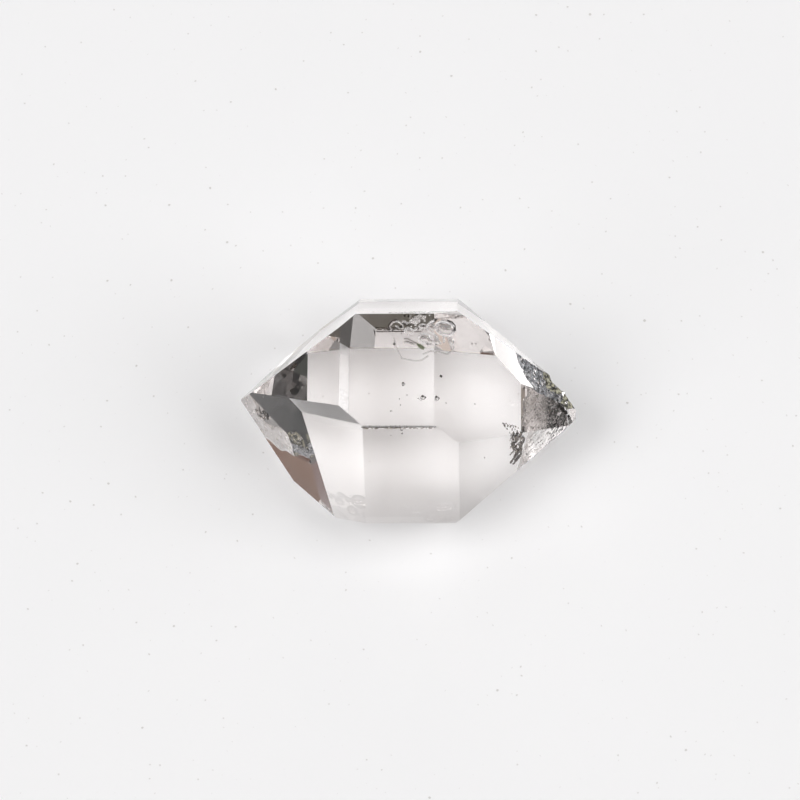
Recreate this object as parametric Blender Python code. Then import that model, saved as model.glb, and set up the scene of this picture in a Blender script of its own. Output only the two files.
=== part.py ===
"""A herkimer diamond: one clear quartz crystal, pointed at both ends, lying on a prism face.

Quartz grows as a six-sided prism closed by six sloping faces at each end, and the angles
between those faces are always the same. What makes this crystal itself is how far each face
lies from its middle. So a plain hexagonal bar is cut by the eighteen faces, each at its own
distance, and the growth terraces, the chips and the bruise are cut into it afterwards.

Frame: the long axis lies along X, the crystal rests on Z = 0, and Y points to its back.
"""
import math

import bmesh
import bpy
from mathutils import Matrix, Vector

MM = 0.001

# How a quartz face is turned about the long axis, in degrees from straight up to the back
TURN = {
    "top": 0,
    "upper_back": 60,
    "lower_back": 120,
    "under": 180,
    "lower_front": 240,
    "upper_front": 300,
}
# Angle between the long axis and a line square to a termination face
LEAN = math.radians(51.79)

# Distance of each face from the middle of the crystal, in mm
PRISM_FACES = {
    "top": 3.865,
    "upper_back": 5.805,
    "lower_back": 8.13,
    "under": 7.72,
    "lower_front": 7.975,
    "upper_front": 4.725,
}
LEFT_FACES = {
    "top": 5.375,
    "upper_back": 6.29,
    "lower_back": 9.64,
    "under": 8.215,
    "lower_front": 8.91,
    "upper_front": 5.105,
}
RIGHT_FACES = {
    "top": 4.46,
    "upper_back": 6.87,
    "lower_back": 8.745,
    "under": 9.68,
    "lower_front": 8.475,
    "upper_front": 6.10,
}

# Plain bar that the faces are cut from, in mm
BAR_LENGTH = 30.0
BAR_RADIUS = 14.0

# Blunt tips, in mm: a corner farther out than this along X is worn round
BLUNT_LEFT_BEYOND = 10.3
BLUNT_RIGHT_BEYOND = 11.2
BLUNT_WIDTH = 0.22

# Growth terraces, in mm: beyond a straight ledge, a face lies lower by a thin layer
LEDGE_REACH = 12.0
UNDER_LEDGE_Y = 3.5
UNDER_LEDGE_DROP = 0.19
LIP_HEIGHT = 0.16
LIP_FROM_X = -7.75
LIP_TO_X = -6.15
BACK_LEDGES = (
    # where it lies along the face, how much lower the face is beyond it, its slant in degrees
    (1.5, 0.05, -24.0),
    (2.6, 0.11, -16.0),
    (3.8, 0.16, -31.0),
    (4.9, 0.20, -12.0),
)

# Chips broken from the edges near the right tip, in mm: centre, radius, flattening
TIP_CHIPS = {
    "long_chip": ((10.95, 2.35, -1.30), 1.55, 0.80),
    "corner_chip": ((11.55, 0.95, -2.10), 1.00, 0.85),
    "beak_chip": ((11.80, -0.75, -3.45), 0.62, 0.90),
}

# Bruise across the edge of the two right front faces, in mm: a comb of slanting notches
BRUISE_LEFT_X = 7.07
BRUISE_NOTCHES = (
    # how far from the bruise's left side and at what Y it starts, its length, width and depth,
    # and its slant in degrees
    (0.02, -1.62, 0.80, 0.22, 0.14, 38.0),
    (0.10, -1.95, 1.05, 0.30, 0.22, 47.0),
    (0.00, -2.42, 1.25, 0.26, 0.26, 52.0),
    (0.05, -2.74, 1.30, 0.40, 0.34, 50.0),
    (0.00, -3.10, 1.05, 0.24, 0.26, 57.0),
    (0.03, -3.42, 1.10, 0.44, 0.36, 46.0),
    (0.00, -3.80, 0.70, 0.20, 0.18, 42.0),
)
BRUISE_PITS = {
    "upper_pit": ((7.42, -1.30, -0.05), 0.17),
    "middle_pit": ((7.66, -1.72, -0.28), 0.21),
}

CRYSTAL_NAME = "quartz_crystal"
CLEAR_QUARTZ = (0.93, 0.92, 0.90, 1.0)
QUARTZ_IOR = 1.546


def face_normal(end, side):
    """Unit vector square to one face: end is prism, left or right."""
    turn = math.radians(TURN[side])
    around = Vector((0.0, math.sin(turn), math.cos(turn)))
    if end == "prism":
        return around
    way = -1.0 if end == "left" else 1.0
    return Vector((way * math.cos(LEAN), 0.0, 0.0)) + math.sin(LEAN) * around


def face_distance(end, side):
    """How far one face lies from the middle of the crystal, in mm."""
    table = {"prism": PRISM_FACES, "left": LEFT_FACES, "right": RIGHT_FACES}[end]
    return table[side]


def cut_flat(bm, normal, distance):
    """Cut off everything beyond one plane and close the cut with a flat face."""
    everything = bm.verts[:] + bm.edges[:] + bm.faces[:]
    cut = bmesh.ops.bisect_plane(
        bm,
        geom=everything,
        dist=1e-6,
        plane_co=normal * distance,
        plane_no=normal,
        clear_outer=True,
    )
    rim = [item for item in cut["geom_cut"] if isinstance(item, bmesh.types.BMEdge)]
    if rim:
        bmesh.ops.contextual_create(bm, geom=rim)


def blank_bar():
    """A plain six-sided bar along X, wider and longer than the crystal."""
    bm = bmesh.new()
    bmesh.ops.create_cone(
        bm,
        segments=6,
        radius1=BAR_RADIUS,
        radius2=BAR_RADIUS,
        depth=BAR_LENGTH,
        cap_ends=True,
        matrix=Matrix.Rotation(math.pi / 2, 4, "Y"),
    )
    return bm


def blunt_tips(bm):
    """Wear the outermost corners round."""
    corners = [
        vert
        for vert in bm.verts
        if vert.co.x < -BLUNT_LEFT_BEYOND or vert.co.x > BLUNT_RIGHT_BEYOND
    ]
    bmesh.ops.bevel(
        bm,
        geom=corners,
        offset=BLUNT_WIDTH,
        offset_type="OFFSET",
        segments=3,
        profile=0.5,
        affect="VERTICES",
    )


def crystal_form():
    """The eighteen natural faces, with the lower back left one left a thin layer too high."""
    bm = blank_bar()
    for end in ("prism", "left", "right"):
        for side in TURN:
            extra = LIP_HEIGHT if (end, side) == ("left", "lower_back") else 0.0
            cut_flat(bm, face_normal(end, side), face_distance(end, side) + extra)
    blunt_tips(bm)
    bmesh.ops.recalc_face_normals(bm, faces=bm.faces[:])
    return bm


def resting_shift(bm):
    """Move that stands the crystal on Z = 0 with the middle of its box over the origin."""
    xs = [vert.co.x for vert in bm.verts]
    ys = [vert.co.y for vert in bm.verts]
    middle_x = (min(xs) + max(xs)) / 2
    middle_y = (min(ys) + max(ys)) / 2
    return Vector((-middle_x, -middle_y, PRISM_FACES["under"]))


def add_object(name, bm, collection, shift):
    """Turn a millimetre mesh into an object in metres, at its place in the world."""
    bm.transform(Matrix.Scale(MM, 4) @ Matrix.Translation(shift))
    mesh = bpy.data.meshes.new(name)
    bm.to_mesh(mesh)
    bm.free()
    obj = bpy.data.objects.new(name, mesh)
    collection.objects.link(obj)
    return obj


def box_cutter(size, place):
    """A box of the given size in mm, whose bottom centre sits at the place matrix."""
    bm = bmesh.new()
    bmesh.ops.create_cube(bm, size=1.0)
    bm.transform(Matrix.Diagonal((*size, 1.0)))
    bm.transform(place @ Matrix.Translation((0.0, 0.0, size[2] / 2)))
    return bm


def scoop_cutter(centre, radius, flattening):
    """A flattened ball, whose rounded side leaves the shell-shaped hollow of a chip."""
    bm = bmesh.new()
    bmesh.ops.create_icosphere(bm, subdivisions=3, radius=radius)
    lean = Matrix.Rotation(math.radians(35), 4, "X") @ Matrix.Rotation(math.radians(20), 4, "Z")
    squash = Matrix.Diagonal((1.0, 1.0, flattening, 1.0))
    bm.transform(Matrix.Translation(centre) @ lean @ squash)
    return bm


def notch_cutter(start, end, width, depth):
    """A bar with a diamond section from start to end, which cuts a notch with a V-shaped bottom."""
    run = end - start
    turn = run.to_track_quat("Z", "X").to_matrix().to_4x4()
    bm = bmesh.new()
    bmesh.ops.create_cone(
        bm,
        segments=4,
        radius1=1.0,
        radius2=0.5,
        depth=run.length,
        cap_ends=True,
        matrix=Matrix.Translation((0.0, 0.0, run.length / 2)),
    )
    bm.transform(Matrix.Diagonal((depth, width / 2, 1.0, 1.0)))
    bm.transform(Matrix.Translation(start) @ turn)
    return bm


def ledge_cutter(end, side, ahead, start, drop):
    """A box that takes a thin layer off one face, everywhere past a ledge.

    The ledge lies square to the direction ahead, at a distance start from the face's middle.
    """
    normal = face_normal(end, side)
    ahead = (ahead - ahead.dot(normal) * normal).normalized()
    turn = Matrix((ahead, normal.cross(ahead), normal)).transposed().to_4x4()
    middle = Matrix.Translation(normal * (face_distance(end, side) - drop))
    past_ledge = Matrix.Translation((start + LEDGE_REACH / 2, 0.0, 0.0))
    return box_cutter((LEDGE_REACH, 2 * LEDGE_REACH, 2.0), middle @ turn @ past_ledge)


def under_ledge():
    """The left end's under face drops towards the back."""
    to_back = Vector((0.0, 1.0, 0.0))
    yield "under_ledge", ledge_cutter("left", "under", to_back, UNDER_LEDGE_Y, UNDER_LEDGE_DROP)


def lip_cutters():
    """Lower the left end's lower back face on both sides of the lip that stands on its edge."""
    normal = face_normal("left", "lower_back")
    edge = normal.cross(face_normal("left", "upper_back")).normalized()
    if edge.x < 0:
        edge = -edge
    middle_x = normal.x * face_distance("left", "lower_back")
    lip_start = (LIP_FROM_X - middle_x) / edge.x
    lip_end = (LIP_TO_X - middle_x) / edge.x
    yield "right_of_lip", ledge_cutter("left", "lower_back", edge, lip_end, 0.0)
    yield "left_of_lip", ledge_cutter("left", "lower_back", -edge, -lip_start, 0.0)


def back_ledges():
    """Steps down the rough lower back face of the right end."""
    for number, (start, drop, slant) in enumerate(BACK_LEDGES, start=1):
        to_tip = Matrix.Rotation(math.radians(slant), 3, face_normal("right", "lower_back"))
        ahead = to_tip @ Vector((1.0, 0.0, 0.0))
        yield f"back_ledge_{number}", ledge_cutter("right", "lower_back", ahead, start, drop)


def tip_chips():
    """Scoops taken out of the edges at the right tip."""
    for name, (centre, radius, flattening) in TIP_CHIPS.items():
        yield name, scoop_cutter(centre, radius, flattening)


def height_on_face(end, side, x, y):
    """Z of a face at a given X and Y, in mm."""
    normal = face_normal(end, side)
    return (face_distance(end, side) - normal.x * x - normal.y * y) / normal.z


def on_right_front(x, y):
    """Point of the surface where the right end's top and upper front faces meet in an edge."""
    top = height_on_face("right", "top", x, y)
    front = height_on_face("right", "upper_front", x, y)
    return Vector((x, y, min(top, front)))


def bruise():
    """Slanting notches that start near one straight line and run up to the right, and two pits."""
    for number, notch in enumerate(BRUISE_NOTCHES, start=1):
        inset, start_y, length, width, depth, slant = notch
        start_x = BRUISE_LEFT_X + inset
        end_x = start_x + length * math.cos(math.radians(slant))
        end_y = start_y + length * math.sin(math.radians(slant))
        start = on_right_front(start_x, start_y)
        end = on_right_front(end_x, end_y)
        yield f"bruise_notch_{number}", notch_cutter(start, end, width, depth)
    for name, (centre, radius) in BRUISE_PITS.items():
        yield name, scoop_cutter(centre, radius, 0.8)


def quartz_material():
    """Clear, colourless, glassy quartz."""
    material = bpy.data.materials.new("clear_quartz")
    material.use_nodes = True
    shader = material.node_tree.nodes["Principled BSDF"]
    shader.inputs["Base Color"].default_value = CLEAR_QUARTZ
    shader.inputs["Roughness"].default_value = 0.02
    shader.inputs["Metallic"].default_value = 0.0
    shader.inputs["IOR"].default_value = QUARTZ_IOR
    shader.inputs["Transmission Weight"].default_value = 1.0
    return material


def cut_with(target, cutter):
    """Take the cutter's shape out of the target, with a Boolean that stays on it."""
    cutter.hide_render = True
    cutter.display_type = "WIRE"
    boolean = target.modifiers.new("cut " + cutter.name, "BOOLEAN")
    boolean.operation = "DIFFERENCE"
    boolean.solver = "EXACT"
    boolean.object = cutter


def main():
    for old in list(bpy.data.objects):
        bpy.data.objects.remove(old, do_unlink=True)

    parts = bpy.data.collections.new("herkimer_diamond")
    cutters = bpy.data.collections.new("herkimer_diamond_cutters")
    for collection in (parts, cutters):
        bpy.context.scene.collection.children.link(collection)

    form = crystal_form()
    shift = resting_shift(form)
    crystal = add_object(CRYSTAL_NAME, form, parts, shift)
    crystal.data.materials.append(quartz_material())

    for source in (under_ledge, lip_cutters, back_ledges, tip_chips, bruise):
        for name, bm in source():
            cut_with(crystal, add_object(name, bm, cutters, shift))

    print("shift in mm", [round(value, 3) for value in shift])


main()
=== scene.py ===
# %% [markdown]
# # A herkimer diamond
#
# A herkimer diamond is a loose quartz crystal that grew in a hollow of the rock, free on all
# sides, so it closes in a point at both ends. It is as clear as window glass. Nearly everything
# that we see in it is something else: the paper under it, the window beside it and the dark room
# in front of it, bent and folded by its eighteen flat faces.
#
# So this lesson spends little on paint and much on shape and light. We take the crystal's exact
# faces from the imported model, add the small damage and the bubbles that show it is a natural
# stone, and then hang a plain studio around it for its faces to pick up.

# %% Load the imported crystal
import math
import random

import bmesh
import bpy
from mathutils import Matrix, Vector, noise


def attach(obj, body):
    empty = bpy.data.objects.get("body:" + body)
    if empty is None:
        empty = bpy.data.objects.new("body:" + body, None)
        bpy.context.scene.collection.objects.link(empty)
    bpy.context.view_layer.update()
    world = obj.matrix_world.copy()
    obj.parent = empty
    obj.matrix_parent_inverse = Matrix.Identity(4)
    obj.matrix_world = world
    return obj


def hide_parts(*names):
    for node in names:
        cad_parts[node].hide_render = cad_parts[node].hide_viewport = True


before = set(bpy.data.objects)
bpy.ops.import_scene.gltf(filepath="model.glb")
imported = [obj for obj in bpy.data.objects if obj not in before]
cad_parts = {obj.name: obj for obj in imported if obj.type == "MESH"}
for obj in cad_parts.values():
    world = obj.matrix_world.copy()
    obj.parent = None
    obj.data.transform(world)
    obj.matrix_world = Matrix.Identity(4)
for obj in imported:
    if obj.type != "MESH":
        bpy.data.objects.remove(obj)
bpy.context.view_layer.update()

# %% [markdown]
# ## One ruler for every step
#
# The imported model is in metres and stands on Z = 0. Places inside a crystal are easier to think
# of in millimetres from its middle, where all the face distances start. Two numbers take us from
# one to the other: the size of a millimetre, and where the crystal's middle lies in the model.

# %% Millimetres from the middle of the crystal
MM = 0.001
MIDDLE = Vector((-0.462, -0.357, 7.72))


def place(x, y, z):
    """A point given in mm from the crystal's middle, in the model's metres."""
    return (MIDDLE + Vector((x, y, z))) * MM


print("middle of the crystal in metres", [round(value, 6) for value in place(0, 0, 0)])

# %% [markdown]
# ## The camera
#
# Many faces of a crystal mirror or bend only what lies in one narrow direction. Move the camera
# by two degrees and half of them change from black to white. The camera therefore comes first:
# almost straight above the stone, leaning a little to the front, and far enough away that the
# lines of the prism stay parallel.

# %% Set up the camera
LOOK_DOWN = math.radians(69.04)
LOOK_ROUND = math.radians(5.06)
CAMERA_ROLL = math.radians(-4.94)
CAMERA_DISTANCE = 235.75
FIELD_WIDTH = 51.94
SENSOR_WIDTH = 36.0


def camera_axes():
    """Right, up and back of the camera, as unit vectors."""
    back = Vector(
        (
            math.sin(LOOK_ROUND) * math.cos(LOOK_DOWN),
            -math.cos(LOOK_ROUND) * math.cos(LOOK_DOWN),
            math.sin(LOOK_DOWN),
        )
    )
    level = Vector((0, 0, 1)).cross(back).normalized()
    upright = back.cross(level)
    right = math.cos(CAMERA_ROLL) * level + math.sin(CAMERA_ROLL) * upright
    up = back.cross(right)
    return right, up, back


def add_camera():
    """A camera that looks at the middle of the crystal."""
    data = bpy.data.cameras.new("studio_camera")
    data.sensor_width = SENSOR_WIDTH
    data.lens = SENSOR_WIDTH * CAMERA_DISTANCE / FIELD_WIDTH
    data.clip_start = 1 * MM
    camera = bpy.data.objects.new("studio_camera", data)
    bpy.context.scene.collection.objects.link(camera)
    right, up, back = camera_axes()
    turn = Matrix((right, up, back)).transposed().to_4x4()
    camera.matrix_world = Matrix.Translation(place(0, 0, 0) + back * CAMERA_DISTANCE * MM) @ turn
    return camera


bpy.context.scene.camera = add_camera()
print("lens in mm", round(bpy.context.scene.camera.data.lens, 1))

# %% [markdown]
# ## Formulas instead of wiring
#
# A shader is a small formula. Drawn as boxes and wires it soon grows hard to read, so we write
# it as one. The class below wraps a socket and lets it stand in an expression such as
# `1 - mask`, and every sign adds the Math node for us. Colours go through Mix nodes, because a
# Math node would turn them grey. Any other node comes from the one method `node`.

# %% A socket that can stand in a formula
class Wire:
    """One output socket of a node tree."""

    def __init__(self, socket):
        self.socket = socket
        self.tree = socket.id_data

    @staticmethod
    def node(tree, kind, settings=None, inputs=None, output=0):
        """Add a node, with its settings first and then its sockets' values or links."""
        new = tree.nodes.new(kind)
        for name, value in (settings or {}).items():
            setattr(new, name, value)
        for name, value in (inputs or {}).items():
            if isinstance(value, Wire):
                tree.links.new(value.socket, new.inputs[name])
            else:
                new.inputs[name].default_value = value
        return Wire(new.outputs[output])

    def combine(self, operation, first, second=0.0):
        """A Math node on two values."""
        settings = {"operation": operation}
        return self.node(self.tree, "ShaderNodeMath", settings, {0: first, 1: second})

    def __add__(self, other):
        return self.combine("ADD", self, other)

    def __radd__(self, other):
        return self.combine("ADD", other, self)

    def __sub__(self, other):
        return self.combine("SUBTRACT", self, other)

    def __rsub__(self, other):
        return self.combine("SUBTRACT", other, self)

    def __mul__(self, other):
        return self.combine("MULTIPLY", self, other)

    def __rmul__(self, other):
        return self.combine("MULTIPLY", other, self)


def mix_colours(tree, factor, first, second):
    """The first colour where the factor is 0, the second where it is 1."""
    inputs = {0: factor, 6: first, 7: second}
    return Wire.node(tree, "ShaderNodeMix", {"data_type": "RGBA"}, inputs, 2)


# %% [markdown]
# ## The studio
#
# Clear quartz is made visible by what stands around it. Real photographers hang white sheets and
# dark cards, and we do the same, only painted on the sky: a soft general light, a bright window
# to the left, and dark and brown cards low down in front and behind. Each card is a round patch
# with a soft rim, given by its compass direction, its height, its radius and its colour. They
# are put up one after another, so a later card hides an earlier one.
#
# All but the last card were worked out by a separate fitting program. Light was followed from each
# facet backwards through the stone to the room, to find which cards give the facets their tones.
#
# A painted sky has one more advantage over lamps. Light that reaches the paper through the
# crystal has to be found by chance, and a wide smooth sky is found with far less noise.

# %% Cards around the crystal
SKY_LOW = (0.37, 0.37, 0.37)
SKY_HIGH = (0.68, 0.68, 0.68)
SKY_TURN = 0.7
STUDIO_LEVEL = 1.05
CARDS = {
    # name: compass direction and height in degrees, radius, soft rim, colour
    "high dark card back right": (33.4, 72.5, 31.1, 13.2, (0.202, 0.184, 0.176)),
    "window left": (-106.9, 52.0, 17.9, 2.0, (3.44, 3.44, 3.44)),
    "window right": (103.0, 40.5, 21.6, 2.1, (3.13, 3.13, 3.13)),
    "dark card back left": (-53.8, 31.0, 28.8, 11.2, (0.035, 0.035, 0.035)),
    "dark card front": (160.3, 32.0, 20.0, 19.2, (0.035, 0.035, 0.035)),
    "dark card front left": (-140.7, 33.8, 5.0, 2.0, (0.035, 0.035, 0.035)),
    "low dark card front right": (121.2, 7.5, 4.1, 2.0, (0.035, 0.035, 0.035)),
    "low white board right": (67.5, 8.8, 4.2, 2.7, (1.08, 1.08, 1.08)),
    "brown card front right": (122.0, 43.8, 3.5, 2.0, (0.265, 0.165, 0.117)),
    "high window back right": (46.3, 78.8, 14.0, 2.0, (1.67, 1.67, 1.67)),
    "low dark card back right": (32.5, 15.0, 6.0, 3.9, (0.035, 0.035, 0.035)),
    "brown card back right": (64.9, 22.5, 2.9, 2.0, (0.164, 0.097, 0.088)),
    "wide low dark card front right": (112.5, 13.8, 6.0, 2.4, (0.035, 0.035, 0.035)),
    "dark card left": (-68.8, 60.0, 3.0, 2.0, (0.035, 0.035, 0.035)),
    "high grey board front right": (157.2, 72.5, 11.6, 2.0, (0.47, 0.41, 0.37)),
    "low dark card back": (-20.1, 17.5, 2.5, 2.8, (0.081, 0.081, 0.081)),
    "low dark card left": (-71.3, 16.2, 20.2, 2.1, (0.035, 0.035, 0.035)),
    "wide dark card front": (-176.8, 41.2, 16.8, 17.6, (0.035, 0.035, 0.035)),
    "low white board front": (163.8, 11.2, 11.6, 2.0, (1.32, 1.32, 1.32)),
    "low dark card front": (163.8, 6.2, 8.6, 2.0, (0.035, 0.035, 0.035)),
    "high brown card back": (-1.0, 71.2, 4.2, 2.0, (0.096, 0.089, 0.074)),
    "small window right": (67.9, 55.0, 7.4, 4.1, (3.1, 3.1, 3.1)),
    "grey board left": (-72.9, 40.0, 2.5, 2.0, (0.29, 0.28, 0.25)),
    "high dark card front left": (-118.8, 57.5, 2.5, 2.0, (0.076, 0.081, 0.087)),
    "low dark card right": (106.2, 12.5, 4.2, 2.0, (0.035, 0.035, 0.035)),
    "low brown card back right": (63.8, 7.5, 3.5, 3.5, (0.18, 0.1, 0.068)),
    "low grey board front right": (112.5, 11.2, 4.2, 2.0, (0.29, 0.26, 0.23)),
    "small low dark card right": (68.8, 11.2, 3.5, 2.0, (0.035, 0.035, 0.035)),
    "window front left": (-124.5, 26.3, 7.2, 4.0, (2.4, 2.4, 2.4)),
    "low brown card front right": (141.2, 11.2, 14.0, 9.0, (0.117, 0.053, 0.035)),
    "white board back right": (26.4, 21.2, 2.9, 2.0, (0.85, 0.85, 0.85)),
    "high window right": (103.6, 61.3, 4.2, 2.5, (1.68, 1.68, 1.68)),
    "small low dark card back right": (66.1, 16.2, 4.2, 3.5, (0.035, 0.035, 0.035)),
    "small dark card front": (158.8, 38.8, 2.5, 2.0, (0.066, 0.069, 0.063)),
    "high pale board back": (-27.0, 72.0, 5.0, 3.0, (0.72, 0.66, 0.61)),
}


def compass(direction, height):
    """Unit vector from a compass direction, 0 to the back and 90 to the right, and a height."""
    across = math.radians(direction)
    above = math.radians(height)
    return (
        math.sin(across) * math.cos(above),
        math.cos(across) * math.cos(above),
        math.sin(above),
    )


def card_mask(tree, looking, direction, height, radius, rim):
    """1 on the card, 0 off it, with a smooth rim."""
    inputs = {0: looking, 1: compass(direction, height)}
    settings = {"operation": "DOT_PRODUCT"}
    near = Wire.node(tree, "ShaderNodeVectorMath", settings, inputs, "Value")
    limits = {
        "Value": near,
        "From Min": math.cos(math.radians(radius + rim / 2)),
        "From Max": math.cos(math.radians(max(radius - rim / 2, 0))),
    }
    return Wire.node(tree, "ShaderNodeMapRange", {"interpolation_type": "SMOOTHSTEP"}, limits)


def build_sky():
    """Paint the general light and the cards on the world."""
    world = bpy.data.worlds.new("studio")
    bpy.context.scene.world = world
    world.use_nodes = True
    tree = world.node_tree
    looking = Wire.node(tree, "ShaderNodeTexCoord", output="Generated")
    height = Wire.node(tree, "ShaderNodeSeparateXYZ", inputs={0: looking}, output="Z")
    settings = {"interpolation_type": "SMOOTHSTEP"}
    limits = {"Value": height, "From Min": 0.0, "From Max": SKY_TURN}
    rise = Wire.node(tree, "ShaderNodeMapRange", settings, limits)
    colour = mix_colours(tree, rise, (*SKY_LOW, 1.0), (*SKY_HIGH, 1.0))
    for direction, up, radius, rim, paint in CARDS.values():
        mask = card_mask(tree, looking, direction, up, radius, rim)
        colour = mix_colours(tree, mask, colour, (*paint, 1.0))
    background = tree.nodes["Background"]
    tree.links.new(colour.socket, background.inputs["Color"])
    background.inputs["Strength"].default_value = STUDIO_LEVEL


build_sky()
print("cards hung", len(CARDS))

# %% [markdown]
# ## Light that passes through the stone
#
# Inside the crystal a ray bounces from face to face many times before it leaves. Blender stops
# after a few bounces to save time, and every ray that it drops turns a facet black. We allow it
# many more. The Standard view keeps the paper as white as it is.

# %% Allow many bounces
cycles = bpy.context.scene.cycles
cycles.max_bounces = 32
cycles.transmission_bounces = 32
cycles.glossy_bounces = 32
cycles.diffuse_bounces = 6
cycles.caustics_refractive = True
cycles.caustics_reflective = True
cycles.blur_glossy = 0.0
cycles.sample_clamp_indirect = 0.0
bpy.context.scene.view_settings.view_transform = "Standard"
print("bounces", cycles.max_bounces)

# %% [markdown]
# ## The paper
#
# The crystal lies on a sheet of smooth pale paper, which is also most of what we see through it.
# A little cloudiness and a very fine grain are enough. The sheet lies two hundredths of a
# millimetre under the crystal: two faces in exactly the same plane would fight for each ray.

# %% Lay the paper
PAPER_SIZE = 700.0
PAPER_GAP = 0.02
PAPER_WHITE = (0.955, 0.955, 0.962)
PAPER_SHADE = (0.935, 0.936, 0.945)
PAPER_SPECK = (0.70, 0.69, 0.68)
CLOUD_SCALE = 60.0
GRAIN_SCALE = 3500.0
SPECK_SCALE = 3200.0


def paper_material():
    """Smooth paper with faint clouds and a fine grain."""
    material = bpy.data.materials.new("pale_paper")
    material.use_nodes = True
    tree = material.node_tree
    shader = tree.nodes["Principled BSDF"]
    where = Wire.node(tree, "ShaderNodeTexCoord", output="Object")
    inputs = {"Vector": where, "Scale": CLOUD_SCALE, "Detail": 4.0}
    clouds = Wire.node(tree, "ShaderNodeTexNoise", inputs=inputs)
    inputs = {"Vector": where, "Scale": GRAIN_SCALE, "Detail": 2.0}
    grain = Wire.node(tree, "ShaderNodeTexNoise", inputs=inputs)
    colour = mix_colours(tree, clouds * 0.6 + grain * 0.4, (*PAPER_SHADE, 1), (*PAPER_WHITE, 1))
    inputs = {"Vector": where, "Scale": SPECK_SCALE, "Detail": 0.0}
    dots = Wire.node(tree, "ShaderNodeTexNoise", inputs=inputs)
    limits = {"Value": dots, "From Min": 0.80, "From Max": 0.90}
    speck = Wire.node(tree, "ShaderNodeMapRange", inputs=limits)
    colour = mix_colours(tree, speck, colour, (*PAPER_SPECK, 1))
    inputs = {"Strength": 0.15, "Distance": 0.02 * MM, "Height": grain}
    bump = Wire.node(tree, "ShaderNodeBump", inputs=inputs)
    tree.links.new(colour.socket, shader.inputs["Base Color"])
    tree.links.new(bump.socket, shader.inputs["Normal"])
    shader.inputs["Roughness"].default_value = 0.75
    shader.inputs["Specular IOR Level"].default_value = 0.2
    return material


def lay_paper():
    """A flat sheet just under the crystal, which belongs to the studio."""
    bm = bmesh.new()
    bmesh.ops.create_grid(bm, x_segments=8, y_segments=8, size=PAPER_SIZE / 2 * MM)
    bm.transform(Matrix.Translation((0, 0, -PAPER_GAP * MM)))
    mesh = bpy.data.meshes.new("paper")
    bm.to_mesh(mesh)
    bm.free()
    sheet = bpy.data.objects.new("paper", mesh)
    bpy.context.scene.collection.objects.link(sheet)
    mesh.materials.append(paper_material())
    return sheet


paper = lay_paper()
print("paper is mm wide:", PAPER_SIZE)

# %% [markdown]
# ## Clear quartz
#
# The stone is a solid, so its shader only needs what physics asks of it: light passes through,
# bends with quartz's own index of refraction, and loses a trace of blue and green on the way.
# The loss is a Volume Absorption, because it has to grow with the length of the path inside.

# %% The finish of clear quartz
QUARTZ_IOR = 1.546
QUARTZ_TINT = (0.94, 0.905, 0.89, 1.0)
QUARTZ_DENSITY = 36.0


def make_glassy(material, roughness):
    """Turn the material's first shader into quartz, tinted inside."""
    tree = material.node_tree
    shader = tree.nodes["Principled BSDF"]
    shader.inputs["Base Color"].default_value = (1.0, 1.0, 1.0, 1.0)
    shader.inputs["Roughness"].default_value = roughness
    shader.inputs["IOR"].default_value = QUARTZ_IOR
    shader.inputs["Transmission Weight"].default_value = 1.0
    tint = tree.nodes.new("ShaderNodeVolumeAbsorption")
    tint.inputs["Color"].default_value = QUARTZ_TINT
    tint.inputs["Density"].default_value = QUARTZ_DENSITY
    tree.links.new(tint.outputs["Volume"], tree.nodes["Material Output"].inputs["Volume"])
    return Wire(shader.outputs["BSDF"])


def clear_quartz():
    """Clear, glassy quartz with the faintest warm tint."""
    material = bpy.data.materials.new("clear_quartz")
    material.use_nodes = True
    make_glassy(material, 0.0)
    return material


# %% [markdown]
# ## Quartz that has been damaged
#
# Where the stone is etched, broken or bruised, it is no longer only glass. Grains of a dull coat
# alternate with clear gaps. A Mix Shader does that: noise decides, grain by grain, whether we look
# at clean quartz or at the coat. On the etched patch, the break, the veil and the bloom the coat is
# painted reflection: its dark and pale crumbs paint the room that these rough places mirror. On
# the veil's specks near the right tip and along the worn edge it is painted shade. The coat's own
# colour changes with a second noise, so that it reads as many crumbs and not as one coat.

# %% Finishes for damaged quartz
CRUMB_RIM = 0.04
DIRT_AND_PAINTED_LIGHT_ROUGHNESS = 0.7


def damaged_quartz(name, dark, pale, grain, cover, roughness):
    """Glass between crumbs of a dull coat, mostly painted light, which cover about the given part.
    """
    material = bpy.data.materials.new(name)
    material.use_nodes = True
    tree = material.node_tree
    glass = make_glassy(material, roughness)
    where = Wire.node(tree, "ShaderNodeTexCoord", output="Object")
    inputs = {"Vector": where, "Scale": grain, "Detail": 2.0}
    mottle = Wire.node(tree, "ShaderNodeTexNoise", inputs=inputs)
    limits = {"Value": mottle, "From Min": 0.40, "From Max": 0.62}
    tone = Wire.node(tree, "ShaderNodeMapRange", inputs=limits)
    colour = mix_colours(tree, tone, (*dark, 1.0), (*pale, 1.0))
    inputs = {"Vector": where, "Scale": grain * 0.7, "Detail": 3.0, "Distortion": 0.4}
    crumbs = Wire.node(tree, "ShaderNodeTexNoise", inputs=inputs)
    middle = 0.5 + 0.35 * (0.5 - cover)
    limits = {"Value": crumbs, "From Min": middle - CRUMB_RIM, "From Max": middle + CRUMB_RIM}
    dirt_and_painted_light_mask = Wire.node(tree, "ShaderNodeMapRange", inputs=limits)
    inputs = {"Base Color": colour, "Roughness": DIRT_AND_PAINTED_LIGHT_ROUGHNESS}
    dull = Wire.node(tree, "ShaderNodeBsdfPrincipled", inputs=inputs)
    mixed = Wire.node(tree, "ShaderNodeMixShader", inputs={0: dirt_and_painted_light_mask, 1: glass, 2: dull})
    tree.links.new(mixed.socket, tree.nodes["Material Output"].inputs["Surface"])
    return material


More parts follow.
